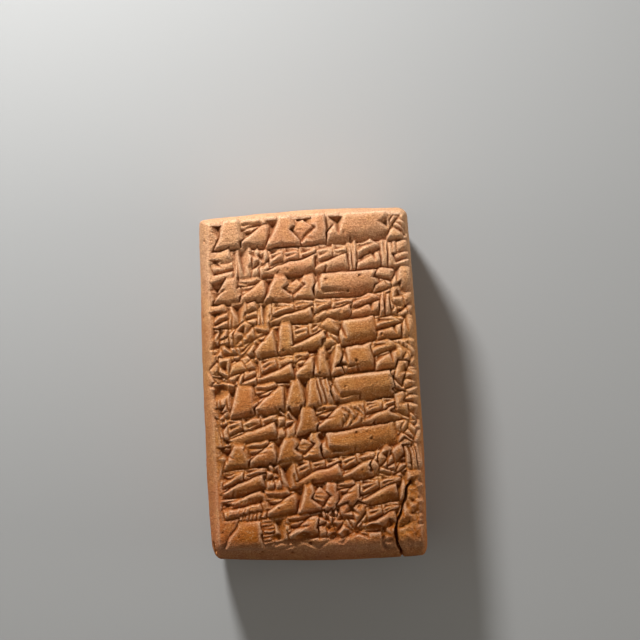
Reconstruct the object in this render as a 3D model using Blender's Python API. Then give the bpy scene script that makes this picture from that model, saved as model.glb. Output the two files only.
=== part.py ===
"""A clay tablet, one solid, lying on its reverse.

The written face looks up (+Z) and the head of its text is towards +Y.
Lengths below are in millimetres and angles in degrees; meshes are made in metres.
"""

import math
import random

import bmesh
import bpy
from mathutils import Matrix, Vector

MM = 0.001
OBJECT = "clay_tablet"

# Body: outer size, rounding of the edges and corners, bulge of both faces
HALF_WIDTH = 19.3
HALF_LENGTH = 31.0
RIM_UP = 8.0              # height of the written face at its rim, over the middle plane
RIM_DOWN = 7.6            # depth of the reverse at its rim
CROWN_UP = 1.3            # bulge of the written face
CROWN_DOWN = 2.6          # bulge of the reverse
REST_DEPTH = 9.7          # the reverse is flat from here down, where the tablet rests
CROWN_POWER = 2.5
SOFT_SIDE = 1.8           # reach of the rounded edges, seen from above
SOFT_HEAD = 1.6
SOFT_FOOT = 4.5
SOFT_UP = 6.5             # height of the rounded edge, above and below
SOFT_DOWN = 7.6
WAIST_LOSS = 0.044        # narrowing of the outline away from WAIST_Y
WAIST_Y = -14.0
WAIST_REACH = 44.0
HEAD_TILT, HEAD_BOW = 0.30, -0.75
FOOT_SHIFT, FOOT_TILT, FOOT_BOW = -0.25, -0.70, 0.55
CORNER_POWER = {(-1, 1): 6.0, (1, 1): 2.0, (-1, -1): 2.4, (1, -1): 4.0}
EDGE_STEPS = 3            # facets round each edge
SIDE_STEPS = 6
FACE_STEPS = (5, 7)       # facets across and along both faces

# Text block of the written face: the top of its first row, then the ruled line under
# each row, as heights at the left and the right end
TEXT_LEFT, TEXT_RIGHT = -16.4, 18.9
FRONT_LINES = [
    (29.6, 29.6), (24.3, 24.8), (18.8, 20.2), (14.9, 15.8), (10.6, 11.7), (4.7, 7.7), (0.1, 2.7),
    (-5.2, -2.2), (-10.0, -6.5), (-14.2, -10.8), (-19.0, -15.4), (-23.7, -20.6), (-28.0, -25.0),
]
SEED = 5

# Text block of the reverse, which starts at the foot and leaves the rest blank
BACK_LEFT, BACK_RIGHT = -16.2, 16.4
BACK_LINES = [(28.6, 28.9), (23.2, 23.8), (17.8, 18.7), (12.6, 13.4), (7.4, 7.9)]

# Ends of rows that run over onto the right edge
EDGE_LEFT, EDGE_RIGHT = -4.4, 1.8
EDGE_LINES = [(25.0, 25.3), (20.2, 20.4), (15.8, 15.8), (11.6, 11.5)]

# Ruled lines: a step down from one row to the next
LINE_DEPTH = 0.36
LINE_GENTLE = 1.60        # reach of a step into the row above
LINE_STEEP = 0.40         # and into the row below
LINE_FLOOR = 0.06
LINE_STATIONS = (0.0, 0.24, 0.48, 0.72, 0.95, 1.0)
LINE_LEAD = 0.4           # ruled lines start this far before the rows
LINE_END = 0.8            # and end this far before the rows do

# The jagged crest where the last row of the written face breaks off over the blank foot
CREST = [
    (-9.4, -28.2), (-7.7, -28.6), (-5.0, -28.4), (-3.2, -27.5), (-1.6, -28.2), (-0.2, -28.6), (1.7, -27.5),
    (3.6, -28.1), (4.9, -26.8), (7.3, -26.2), (9.5, -26.4), (11.7, -26.1),
]

# The crack at the foot, as places from the written face round onto the foot
CRACK_WIDTH = 0.60
CRACK_DEPTH = 1.7
CRACK = [
    (16.3, -17.6), (15.5, -18.9), (15.2, -20.7), (14.5, -22.6), (13.8, -24.2), (13.3, -25.8), (13.3, -27.5),
    (13.6, -28.9), (14.2, -30.1),
]
CRACK_FOOT = [(14.6, 2.8), (15.0, -0.4)]

# Chips, each with its place, reach across, reach along and depth
CHIPS = [
    (-16.4, -0.3, 1.5, 1.7, 1.1), (3.8, -3.4, 0.8, 0.6, 0.8), (0.8, -9.3, 0.7, 0.7, 0.8),
    (5.1, 3.3, 1.3, 0.5, 0.7), (12.4, -27.2, 1.6, 2.4, 0.4), (2.4, -26.7, 1.8, 0.8, 0.8),
    (6.8, -25.6, 1.8, 0.7, 0.7), (-5.3, -27.3, 1.6, 0.7, 0.7),
]

CUT_LIFT = 1.0            # cutters rise this far over the surface
HEAD_RUN = 1.2            # length of a press's head face over its depth
TANGLE_AREA = 4.2         # area of a row that each press of a tangle has
SMALLEST_PRESS = 2.2      # presses with a smaller product of length and head are left out
PEAK_NOTCH_FROM = 4.3     # width from which a peak has a notch at its right
BAR_SCORE_FROM = 7.0      # width from which a bar is scored again
BLANK_NOTCH_FROM = 5.0    # width from which a blank has a notch at its head
STROKE_PITCH = 2.0        # spacing of the wedges on the edge

# Rows of groups of presses, each with its width along the row
FRONT_ROWS = [
    [("peak", 5.2), ("rungs", 4.4), ("vee", 10.2), ("blank", 9.8), ("fan", 5.0)],
    [("box", 4.6), ("post", 2.0), ("hooks", 3.0), ("ramp", 8.6), ("ramp", 5.6), ("comb", 1.4),
     ("arrow", 4.2), ("comb", 2.4), ("box", 3.6)],
    [("peak", 4.4), ("rungs", 4.6), ("vee", 8.8), ("bar", 11.2), ("tangle", 2.4), ("blank", 4.2)],
    [("box", 2.6), ("post", 2.4), ("box", 2.4), ("post", 2.0), ("ramp", 6.6), ("ramp", 6.4),
     ("arrow", 4.8), ("comb", 2.6), ("tangle", 3.4)],
    [("slant", 2.0), ("tangle", 5.2), ("rungs", 3.6), ("peak", 3.2), ("ramp", 6.0), ("tangle", 2.4),
     ("bar", 6.6), ("arrow", 4.8), ("blank", 2.6)],
    [("tangle", 4.6), ("box", 2.6), ("ramp", 6.6), ("rungs", 3.2), ("vee", 5.0), ("bar", 5.4),
     ("arrow", 4.6), ("scratch", 3.4)],
    [("comb", 1.4), ("peak", 4.8), ("rungs", 5.0), ("vee", 5.8), ("comb", 2.0), ("bar", 11.0),
     ("tangle", 4.0)],
    [("comb", 1.0), ("ramp", 7.8), ("hooks", 2.4), ("peak", 3.6), ("rungs", 4.0), ("scratch", 3.8),
     ("ramp", 5.4), ("tangle", 3.2)],
    [("peak", 4.4), ("rungs", 5.0), ("vee", 7.6), ("bar", 12.8), ("fan", 4.2)],
    [("ramp", 7.2), ("hooks", 2.6), ("post", 2.2), ("ramp", 7.4), ("ramp", 5.6), ("tangle", 4.8),
     ("comb", 3.0)],
    [("slant", 6.4), ("rungs", 4.6), ("vee", 6.0), ("rungs", 3.4), ("ramp", 6.2), ("blank", 3.6)],
    [("blank", 5.8), ("ladder", 1.6), ("post", 2.0), ("rungs", 4.6), ("hooks", 3.2), ("tangle", 4.0),
     ("ramp", 4.8), ("blank", 4.2)],
]

BACK_ROWS = [
    [("ramp", 7.6), ("rungs", 4.6), ("post", 2.4), ("bar", 9.0), ("fan", 4.4), ("tangle", 4.2)],
    [("peak", 4.6), ("rungs", 5.2), ("ramp", 7.4), ("hooks", 3.6), ("rungs", 5.0), ("arrow", 5.4)],
    [("hooks", 4.6), ("arrow", 5.6), ("peak", 4.4), ("ramp", 7.8), ("comb", 2.8), ("bar", 7.4)],
    [("rungs", 5.4), ("post", 2.8), ("ramp", 7.6), ("tangle", 3.4), ("bar", 13.4)],
]
EDGE_ROWS = [
    [("strokes", 6.2)],
    [("strokes", 4.2), ("bare", 2.0)],
    [("bare", 0.6), ("strokes", 5.6)],
]


def half_width(y):
    """Half of the outline's width at a place along the tablet."""
    return HALF_WIDTH * (1 - WAIST_LOSS * ((y - WAIST_Y) / WAIST_REACH) ** 2)


def end_shift(x, y):
    """How far the head and the foot of the outline depart from straight ends."""
    n = x / HALF_WIDTH
    if y > 0:
        return (HEAD_TILT * n + HEAD_BOW * n * n) * (y / HALF_LENGTH) ** 3
    return (FOOT_SHIFT + FOOT_TILT * n + FOOT_BOW * n * n) * (-y / HALF_LENGTH) ** 3


def bulge(x, y, crown):
    """Height that a face gains towards its middle."""
    across = max(0.0, 1 - abs(x / HALF_WIDTH) ** CROWN_POWER)
    along = max(0.0, 1 - abs(y / HALF_LENGTH) ** CROWN_POWER)
    return crown * across * along


def soft_end(y):
    """Reach of the rounded edge at the head or at the foot."""
    return SOFT_HEAD if y > 0 else SOFT_FOOT


def corner_reach(qx, qy, x, y):
    """Length of a step past the inner box, rounder or squarer at each corner."""
    power = CORNER_POWER[(1 if x > 0 else -1, 1 if y > 0 else -1)]
    return (abs(qx) ** power + abs(qy) ** power) ** (1 / power)


def face_height(x, y, upward):
    """Height of the written face, or depth of the reverse, at a place in the outline."""
    y = y - end_shift(x, y)
    x = x * HALF_WIDTH / half_width(y)
    qx = max(0.0, abs(x) - HALF_WIDTH + SOFT_SIDE) / SOFT_SIDE
    qy = max(0.0, abs(y) - HALF_LENGTH + soft_end(y)) / soft_end(y)
    reach = min(1.0, corner_reach(qx, qy, x, y))
    rise = math.sqrt(1 - reach * reach)
    if upward:
        return RIM_UP - SOFT_UP * (1 - rise) + bulge(x, y, CROWN_UP)
    return min(REST_DEPTH, RIM_DOWN - SOFT_DOWN * (1 - rise) + bulge(x, y, CROWN_DOWN))


def edge_rounding(z, soft):
    """How far an edge of the given reach has drawn in at a height over the middle plane."""
    over = z - (RIM_UP - SOFT_UP)
    past = min(1.0, max(0.0, over / SOFT_UP, -z / SOFT_DOWN))
    return soft * (1 - math.sqrt(1 - past * past))


def edge_reach(y, z):
    """How far the right edge stands out from the middle plane x = 0."""
    return half_width(y) - edge_rounding(z, SOFT_SIDE)


def on_front(u, v):
    """Point of the written face: u to the right, v towards the head of the text."""
    return Vector((u, v, face_height(u, v, True)))


def on_back(u, v):
    """Point of the reverse, as it reads once the tablet is turned over its foot."""
    return Vector((u, -v, -face_height(u, -v, False)))


def on_foot(u, v):
    """Point of the foot's end face: u to the right, v up towards the written face."""
    reach = HALF_LENGTH - edge_rounding(v, SOFT_FOOT)
    return Vector((u, end_shift(u, -reach) - reach, v))


def on_right(u, v):
    """Point of the right edge: u runs down from the written face, v towards the head."""
    return Vector((edge_reach(v, -u), v, -u))


def frame_at(place, u, v, turn):
    """Axes on a surface: X along the turned direction, Z out of the clay."""
    step = 0.4
    centre = place(u, v)
    along_u = place(u + step, v) - place(u - step, v)
    along_v = place(u, v + step) - place(u, v - step)
    out = along_u.cross(along_v).normalized()
    angle = math.radians(turn)
    ahead = along_u.normalized() * math.cos(angle) + along_v.normalized() * math.sin(angle)
    ahead = (ahead - out * ahead.dot(out)).normalized()
    side = out.cross(ahead)
    axes = Matrix((ahead, side, out)).transposed().to_4x4()
    axes.translation = centre
    return axes


# Groups of presses. Each press has the middle of its head (along the row, up from its
# ruled line), the way its tail points, its length, the width of its head, its depth
# and how far its valley lies off the middle.

def post(press, s, w, h, j):
    head = min(2.8, w * 1.1)
    press(s + w * 0.5, h * 1.0, -92 + j(-5, 5), h * 1.02, head, 0.34 * head + 0.2, -0.2)


def peak(press, s, w, h, j):
    press(s + 1.1, h * 0.98, -106 + j(-4, 4), h * 1.02, 3.1, 1.15, -0.14)
    if w > PEAK_NOTCH_FROM:
        press(s + w * 0.95, h * 0.98, -70 + j(-5, 5), h * 0.6, 1.5, 0.7, 0.2)


def rungs(press, s, w, h, j):
    press(s, h * 0.84, j(-4, 3), w * 0.95, h * 0.34, 0.85, -0.34)
    press(s - 0.1, h * 0.44, 15 + j(-3, 3), w * 1.1, h * 0.50, 1.05, -0.36)
    press(s + w * 0.35, h * 0.04, 90 + j(-8, 8), h * 0.3, 1.5, 0.6, 0.0)


def vee(press, s, w, h, j):
    press(s + w * 0.98, h * 0.9, -93 + j(-4, 4), h * 0.8, 1.2, 0.8, -0.2)
    press(s + w * 0.06, h, -90 + j(-4, 4), h * 0.75, min(3.0, w * 0.3), 1.1, 0.2)
    press(s + w * 0.58, h, -90 + j(-4, 4), h * 0.85, w * 0.40, 1.15, j(-0.1, 0.1))
    press(s + w * 0.58, h * -0.05, 90 + j(-6, 6), h * 0.42, 1.4, 0.7, 0.0)


def ramp(press, s, w, h, j):
    press(s - 0.1, h * 0.42, 12 + j(-2, 2), w * 1.04, h * 0.54, 1.05, -0.36)
    press(s + w * 0.08, h * 0.88, -4 + j(-3, 3), w * 0.72, h * 0.32, 0.85, -0.3)
    press(s + w * 0.52, h * 0.86, 2 + j(-6, 6), w * 0.5, h * 0.28, 0.7, -0.2)
    press(s + w * 1.0, h * 0.60, -96 + j(-5, 5), h * 0.66, 1.5, 1.15, -0.3)


def comb(press, s, w, h, j):
    teeth = max(2, round(w / 0.98))
    for k in range(teeth):
        head = min(1.25, w / teeth * 1.2)
        press(s + (k + 0.5) * w / teeth, h * (1.0 - 0.07 * (k % 2)), -91 + j(-8, 8), h * 0.86,
              head, 0.8, 0.2)


def box(press, s, w, h, j):
    press(s + w - 0.2, h * 0.98, -88 + j(-4, 4), h * 0.8, 1.5, 0.9, 0.3)
    for k in range(3):
        indent = (0.5, -0.1, 0.2)[k]
        press(s + indent, h * (0.86 - 0.31 * k), 4 + j(-3, 5), w * (0.55 + 0.15 * k), h * 0.30, 0.7, -0.34)


def hooks(press, s, w, h, j):
    count = max(2, round(w / 1.7))
    for k in range(count):
        left = s + (k + 0.1) * w / count
        press(left, h * (0.86 - 0.16 * (k % 2)), -42 + j(-16, 16), 2.4, 2.3, 1.0, j(-0.3, 0.3))
        press(left, h * 0.30, 12 + j(-10, 14), w / count * 1.3, h * 0.46, 0.9, -0.34)


def slant(press, s, w, h, j):
    count = max(2, round(w / 1.35))
    for k in range(count):
        press(s + (k + 0.55) * w / count, h * (0.98 - 0.03 * k), -118 + j(-8, 8), h * 0.8, 1.45, 0.8, 0.2)
    press(s, h * 0.30, 12 + j(-3, 3), w * 1.05, h * 0.44, 0.9, -0.34)


def arrow(press, s, w, h, j):
    press(s, h * 0.86, -6 + j(-4, 4), w * 1.0, h * 0.40, 0.9, -0.3)
    press(s, h * 0.40, 14 + j(-4, 4), w * 0.75, h * 0.46, 0.95, -0.36)
    press(s + w * 0.62, h * 0.66, -80 + j(-6, 6), h * 0.44, 2.0, 1.0, 0.0)


def fan(press, s, w, h, j):
    press(s + w * 0.48, h, -90 + j(-4, 4), h * 0.24, w * 0.6, 0.6, 0.2)
    press(s - 0.1, h * 0.74, -62 + j(-4, 4), h * 0.5, w * 0.3, 0.9, 0.1)
    for k in range(2):
        press(s + w * (0.30 + 0.14 * k), h * (0.56 + 0.16 * k), -42 + j(-5, 5), w * 0.62, 1.3, 0.7, 0.0)


def ladder(press, s, w, h, j):
    for k in range(3):
        press(s, h * (0.24 + 0.27 * k), j(-6, 6), w, h * 0.24, 0.6, -0.2)


def bar(press, s, w, h, j):
    press(s - 0.3, h * 0.92, -66 + j(-5, 5), h * 0.85, 2.0, 1.25, 0.3)
    press(s + w * 0.04, h * 0.16, 4, min(w * 0.36, 4.2), h * 0.30, 0.8, -0.3)
    press(s + w * 0.56, h * -0.05, 84 + j(-8, 8), h * 0.5, 1.7, 0.9, 0.0)
    if w > BAR_SCORE_FROM:
        press(s + w * 0.60, h * 0.10, 6, w * 0.30, h * 0.22, 0.6, -0.3)


def tangle(press, s, w, h, j):
    count = max(2, round(w * h / TANGLE_AREA))
    for k in range(count):
        press(s + w * ((k * 0.618 + 0.2) % 1.0), h * (0.25 + 0.72 * (k + 0.5) / count), -45 + j(-45, 45),
              2.5, 1.9, 0.9, j(-0.3, 0.3))


def scratch(press, s, w, h, j):
    for k in range(3):
        press(s + w * (0.1 + 0.32 * k), h * 0.92, -62 + j(-8, 8), h * 0.8, 1.0, 0.6, 0.2)


def blank(press, s, w, h, j):
    if w > BLANK_NOTCH_FROM:
        press(s + w * 0.14, h, -84 + j(-4, 4), h * 0.62, 3.0, 1.1, 0.1)
    press(s + w * 0.3, h * -0.04, 94, h * 0.34, 1.4, 0.6, 0.0)


def strokes(press, s, w, h, j):
    """Wedges side by side, clear of each other."""
    for k in range(round(w / STROKE_PITCH)):
        top = h * (0.90 - 0.14 * (k % 2))
        press(s + (k + 0.5) * STROKE_PITCH, top, -92 + j(-9, 9), h * 0.60, 1.4, 0.8, 0.1)


def bare(press, s, w, h, j):
    """Clay left unwritten."""


GROUPS = {
    "post": post, "peak": peak, "rungs": rungs, "vee": vee, "ramp": ramp, "comb": comb, "box": box,
    "hooks": hooks, "slant": slant, "arrow": arrow, "fan": fan, "ladder": ladder, "bar": bar, "blank": blank,
    "tangle": tangle, "scratch": scratch, "strokes": strokes, "bare": bare,
}


def row_presses(lines, rows, left, right, draw):
    """Presses of a block of rows, as (u, v, turn, length, head, depth, skew)."""
    found = []
    for index, groups in enumerate(rows):
        above, below = lines[index], lines[index + 1]
        slope = math.atan2(below[1] - below[0], right - left)

        def press(along, up, turn, length, head, depth, skew):
            along += draw.uniform(-0.1, 0.1)
            up += draw.uniform(-0.1, 0.1)
            u = left + along * math.cos(slope) - up * math.sin(slope)
            v = below[0] + along * math.sin(slope) + up * math.cos(slope)
            turn += math.degrees(slope) + draw.uniform(-4, 4)
            length *= draw.uniform(0.92, 1.10)
            head *= draw.uniform(0.92, 1.10)
            depth *= draw.uniform(0.90, 1.12)
            found.append((u, v, turn, length, head, depth, skew))

        start = 0.0
        stretch = (right - left) / sum(width for _, width in groups)
        for name, width in groups:
            width *= stretch
            part = (start + width / 2) / (right - left)
            height = (above[0] - below[0]) * (1 - part) + (above[1] - below[1]) * part
            GROUPS[name](press, start, width, height, draw.uniform)
            start += width
    return found


def new_object(name, bm, collection):
    """Turns a bmesh in millimetres into an object in metres, faces outward."""
    bmesh.ops.recalc_face_normals(bm, faces=bm.faces)
    bmesh.ops.scale(bm, vec=(MM, MM, MM), verts=bm.verts)
    mesh = bpy.data.meshes.new(name)
    bm.to_mesh(mesh)
    bm.free()
    made = bpy.data.objects.new(name, mesh)
    collection.objects.link(made)
    return made


def stations(half, soft_low, soft_high, steps):
    """Places of the cuts between -half and half: EDGE_STEPS in each soft end, steps between."""
    low, high = soft_low - half, half - soft_high
    ends = [low - soft_low * k / EDGE_STEPS for k in range(EDGE_STEPS)]
    ends += [high + soft_high * k / EDGE_STEPS for k in range(EDGE_STEPS)]
    middle = [low + (high - low) * k / steps for k in range(1, steps)]
    return sorted(ends + middle)


def make_body(collection):
    """The lump of clay before it is written on."""
    bm = bmesh.new()
    bmesh.ops.create_cube(bm, size=2)
    bmesh.ops.scale(bm, vec=(HALF_WIDTH, HALF_LENGTH, 1), verts=bm.verts)
    cuts = [(0, place) for place in stations(HALF_WIDTH, SOFT_SIDE, SOFT_SIDE, FACE_STEPS[0])]
    cuts += [(1, place) for place in stations(HALF_LENGTH, SOFT_FOOT, SOFT_HEAD, FACE_STEPS[1])]
    cuts += [(2, -1 + 2 * k / SIDE_STEPS) for k in range(1, SIDE_STEPS)]
    for axis, place in cuts:
        point = Vector((0, 0, 0))
        point[axis] = place
        normal = Vector((0, 0, 0))
        normal[axis] = 1
        everything = bm.verts[:] + bm.edges[:] + bm.faces[:]
        bmesh.ops.bisect_plane(bm, geom=everything, plane_co=point, plane_no=normal)
    for vert in bm.verts:
        vert.co = body_point(vert.co)
    return new_object("tablet", bm, collection)


def body_point(p):
    """Where a point of the plain block (half height 1) lies on the tablet."""
    upward = p.z > 0
    soft = SOFT_UP if upward else SOFT_DOWN
    rim = RIM_UP if upward else RIM_DOWN
    inner_x = max(-HALF_WIDTH + SOFT_SIDE, min(HALF_WIDTH - SOFT_SIDE, p.x))
    inner_y = max(-HALF_LENGTH + SOFT_FOOT, min(HALF_LENGTH - SOFT_HEAD, p.y))
    qx = (p.x - inner_x) / SOFT_SIDE
    qy = (p.y - inner_y) / soft_end(p.y)
    qz = abs(p.z)
    norm = math.hypot(corner_reach(qx, qy, p.x, p.y), qz)
    x = inner_x + SOFT_SIDE * qx / norm
    y = inner_y + soft_end(p.y) * qy / norm
    z = rim - soft + soft * qz / norm
    z += bulge(x, y, CROWN_UP if upward else CROWN_DOWN) * (qz / norm) ** 2
    z = min(z, RIM_UP + CROWN_UP if upward else REST_DEPTH)
    x *= half_width(y) / HALF_WIDTH
    y += end_shift(x, y)
    return Vector((x, y, z if upward else -z))


def add_press(bm, place, u, v, turn, length, head, depth, skew):
    """A stylus corner: a steep head face and two side faces that meet in a valley."""
    angle = math.radians(turn)
    middle = length * 0.35
    frame = frame_at(place, u + middle * math.cos(angle), v + middle * math.sin(angle), turn)
    run = depth * HEAD_RUN
    deepest = Vector((run, skew * head * (1 - run / length), -depth))
    corners = [Vector((0, -head / 2, 0)), Vector((0, head / 2, 0)), Vector((length, 0, 0))]
    grow = (depth + CUT_LIFT) / depth
    corners = [deepest + (corner - deepest) * grow for corner in corners]
    made = bmesh.ops.create_cone(bm, cap_ends=True, segments=3, radius1=1, radius2=0, depth=1)
    tip = max(made["verts"], key=lambda vert: vert.co.z)
    rim = [vert for vert in made["verts"] if vert is not tip]
    shift = Vector((-middle, 0, 0))
    for vert, corner in zip(rim, corners):
        vert.co = frame @ (corner + shift)
    tip.co = frame @ (deepest + shift)


def add_groove(bm, frames, section):
    """A groove along a run of frames. The section has its far and near corners, deep then
    high, as (across, up)."""
    made = bmesh.ops.create_cube(bm, size=2)
    verts = made["verts"]
    count = len(frames) - 1
    for k in range(1, count):
        own = set(verts)
        geom = [item for item in bm.edges[:] + bm.faces[:] if item.verts[0] in own] + verts
        place = (2 * k / count - 1, 0, 0)
        cut = bmesh.ops.bisect_plane(bm, geom=geom, plane_co=place, plane_no=(1, 0, 0))
        verts += [item for item in cut["geom_cut"] if isinstance(item, bmesh.types.BMVert)]
    for vert in verts:
        frame = frames[round((vert.co.x + 1) / 2 * count)]
        across, up = section[(vert.co.y > 0, vert.co.z > 0)]
        vert.co = frame @ Vector((0, across, up))


def v_section(far, near, depth, floor):
    """Section of a groove that is far wide on one side of its floor and near on the other."""
    widen = (depth + CUT_LIFT) / depth
    return {
        (True, False): (floor, -depth),
        (False, False): (-floor, -depth),
        (True, True): (far * widen, CUT_LIFT),
        (False, True): (-near * widen, CUT_LIFT),
    }


def ruled(left, right, ends):
    """Places of a straight ruled line, which falls or climbs between its ends."""
    start, stop = left - LINE_LEAD, right - LINE_END
    return [(start + (stop - start) * part, ends[0] + (ends[1] - ends[0]) * part) for part in LINE_STATIONS]


def add_line(bm, place, route):
    """A ruled step: gentle on the side of the row above, steep on the row below."""
    (left, low), (right, high) = route[0], route[-1]
    turn = math.degrees(math.atan2(high - low, right - left))
    frames = [frame_at(place, u, v, turn) for u, v in route]
    add_groove(bm, frames, v_section(LINE_GENTLE, LINE_STEEP, LINE_DEPTH, LINE_FLOOR))


def add_crack(bm):
    """The crack, down the written face and over the foot."""
    route = [frame_at(on_front, u, v, -90) for u, v in CRACK]
    route += [frame_at(on_foot, u, v, -90) for u, v in CRACK_FOOT]
    half = CRACK_WIDTH / 2
    add_groove(bm, route, v_section(half, half, CRACK_DEPTH, half / 2))


def add_chip(bm, draw, u, v, across, along, depth):
    """A chip: a lumpy ball sunk into the written face."""
    frame = frame_at(on_front, u, v, 0)
    made = bmesh.ops.create_icosphere(bm, subdivisions=1, radius=1)
    for vert in made["verts"]:
        rough = draw.uniform(0.8, 1.15)
        ball = vert.co * rough
        vert.co = frame @ Vector((ball.x * across, ball.y * along, ball.z * depth))


def add_block(bm, place, lines, rows, left, right, seed, last=()):
    """A block of text: its ruled lines, the last of which may have its own route, and its presses."""
    for ends in lines[1:-1]:
        add_line(bm, place, ruled(left, right, ends))
    add_line(bm, place, last or ruled(left, right, lines[-1]))
    add_presses(bm, place, lines, rows, left, right, seed)


def add_presses(bm, place, lines, rows, left, right, seed):
    """The presses of a block of rows."""
    for item in row_presses(lines, rows, left, right, random.Random(seed)):
        if item[3] * item[4] > SMALLEST_PRESS:
            add_press(bm, place, *item)


def make_marks(collection):
    """Everything that is pressed, cracked or chipped out of the clay, as one cutter."""
    bm = bmesh.new()
    add_block(bm, on_front, FRONT_LINES, FRONT_ROWS, TEXT_LEFT, TEXT_RIGHT, SEED, CREST)
    add_block(bm, on_back, BACK_LINES, BACK_ROWS, BACK_LEFT, BACK_RIGHT, SEED + 1)
    add_presses(bm, on_right, EDGE_LINES, EDGE_ROWS, EDGE_LEFT, EDGE_RIGHT, SEED + 2)
    add_crack(bm)
    draw = random.Random(SEED + 3)
    for chip in CHIPS:
        add_chip(bm, draw, *chip)
    marks = new_object("marks", bm, collection)
    marks.hide_render = True
    marks.display_type = "WIRE"
    return marks


def clay():
    material = bpy.data.materials.new("baked_clay")
    material.use_nodes = True
    shader = material.node_tree.nodes["Principled BSDF"]
    shader.inputs["Base Color"].default_value = (0.30, 0.13, 0.055, 1)
    shader.inputs["Roughness"].default_value = 0.85
    shader.inputs["Metallic"].default_value = 0.0
    return material


def main():
    for old in list(bpy.data.objects):
        bpy.data.objects.remove(old, do_unlink=True)
    parts = bpy.data.collections.new(OBJECT)
    cutters = bpy.data.collections.new("cutters")
    for made in (parts, cutters):
        bpy.context.scene.collection.children.link(made)
    tablet = make_body(parts)
    tablet.data.materials.append(clay())

    cutter = make_marks(cutters)
    cut = tablet.modifiers.new("marks", "BOOLEAN")
    cut.operation = "DIFFERENCE"
    cut.object = cutter
    cut.use_self = True
    lift = Matrix.Translation((0, 0, REST_DEPTH * MM))
    tablet.matrix_world = lift
    cutter.matrix_world = lift


main()
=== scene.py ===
"""The clay tablet dressed for the camera: worn relief, dry clay, a floor, a light and a camera.

Lengths are in millimetres, but for what Blender is given: the finished mesh, the floor, the
places and sizes of lights and the scales in materials are in metres. Angles are in degrees.
"""

import math
import random
from itertools import product

import bpy
import numpy as np
from mathutils import Matrix, Vector


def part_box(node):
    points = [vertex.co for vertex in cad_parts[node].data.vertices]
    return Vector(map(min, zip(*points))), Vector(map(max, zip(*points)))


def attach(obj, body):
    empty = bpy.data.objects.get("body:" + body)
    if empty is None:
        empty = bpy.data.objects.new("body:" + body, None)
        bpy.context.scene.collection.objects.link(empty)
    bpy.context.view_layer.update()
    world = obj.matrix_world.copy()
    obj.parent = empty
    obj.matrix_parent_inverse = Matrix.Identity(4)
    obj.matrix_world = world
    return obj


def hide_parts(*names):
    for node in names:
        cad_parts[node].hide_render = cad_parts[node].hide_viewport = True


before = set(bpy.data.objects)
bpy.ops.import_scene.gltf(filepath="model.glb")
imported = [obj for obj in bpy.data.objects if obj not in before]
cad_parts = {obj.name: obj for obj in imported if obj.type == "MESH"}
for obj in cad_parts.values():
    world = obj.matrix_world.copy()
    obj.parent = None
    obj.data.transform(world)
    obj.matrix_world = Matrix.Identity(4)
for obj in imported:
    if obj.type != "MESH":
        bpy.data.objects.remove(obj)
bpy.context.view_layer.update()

MM = 0.001
LOW, HIGH = (np.array(corner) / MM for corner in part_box("tablet"))

# Body: outer size, rounding of the edges and corners, bulge of both faces
HALF_WIDTH, HALF_LENGTH = 19.3, 31.0
RIM_UP, RIM_DOWN = 8.0, 7.6
CROWN_UP = 1.1  # less than the solid has, since the cushions stand proud of it
CROWN_DOWN = 2.6
REST_DEPTH = 9.7
CROWN_POWER = 2.5
SOFT_SIDE, SOFT_HEAD, SOFT_FOOT = 1.8, 1.6, 4.5
SOFT_UP, SOFT_DOWN = 6.5, 7.6
WAIST_LOSS, WAIST_Y, WAIST_REACH = 0.044, -14.0, 44.0
HEAD_TILT, HEAD_BOW = 0.3, -0.75
FOOT_SHIFT, FOOT_TILT, FOOT_BOW = -0.25, -0.7, 0.55
CORNER_POWERS = {(-1, 1): 6.0, (1, 1): 2.0, (-1, -1): 2.4, (1, -1): 4.0}
LATTICE = (344, 560, 110)  # cells of the clay's skin across, along and up
TRIANGLES = 192000  # the finished mesh has no more than this

# Text block of the written face: the top of its first row, then the ruled line under
# each row, as heights at the left and the right end
TEXT_LEFT, TEXT_RIGHT = -16.4, 19.1
FRONT_LINES = [
    (29.6, 29.6), (24.3, 24.8), (18.8, 20.2), (14.9, 15.8), (10.6, 11.7), (4.7, 7.7), (0.1, 2.7),
    (-5.2, -2.2), (-10.0, -6.5), (-14.2, -10.8), (-19.0, -15.4), (-23.7, -20.6), (-28.0, -25.0),
]
SEED = 5
RELIEF_STEP = 0.08  # spacing of the points of a patch
FACE_PATCH = (-21, -33), (22, 33)  # lowest and highest corner of a face's patch
EDGE_PATCH = (-10, 8), (10, 30)  # and of the right edge's
FAR = 99.0  # beyond any place on a patch
FACE_FADE = 0.3, 0.25  # lean of the skin at which a face's marks begin, and until they are whole
EDGE_FADE = 0.6, 0.2  # and those of the right edge
EDGE_PROUD = 0.3  # share left of the clay raised by marks on the edge
GROUND_SINK = 0.06  # how far the ground under the marks lies below the clay around
SINK_SOFT = 0.5  # how far in from its rim that ground gets to its depth
GAP_WIDTH = 0.2  # width of the crevice round a cushion
PAD_GROW = 0.2  # how far cushions reach past their corners
UPPER = (-0.27, 0.96)  # the way that a cushion's sharp side faces
UPPER_SOFT, LOWER_SOFT = 0.4, 2.2  # widths over which those sides fall, as parts of softness
UPPER_DROP = 0.65  # the fall at the sharp side, as a part of the other's
CROWN = 0.4  # how far a cushion bulges between its upper and lower sides
CROWN_FROM = 1.6  # half its height from which it bulges that far
MERGE = 0.9  # how far a cushion takes to run out into the clay beside it
WARP = (3.2, 0.3), (1.1, 0.12)  # sizes and reaches of the waver in the marks' outlines
PAD_ROUND = 0.04  # rounding of a cushion's corners
GAP_DEPTH = 0.75  # depth of a crevice, as a part of what the groups of marks say
PRESS_DEPTH = 1.2  # depth of a press, likewise
PRESS_STRAY, TURN_STRAY, SIZE_STRAY = 0.1, 5.0, 0.1  # strays of a press's place, turn and size
PAD_ALONG, PAD_UP = 0.2, 0.16  # strays of a cushion's corners
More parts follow.
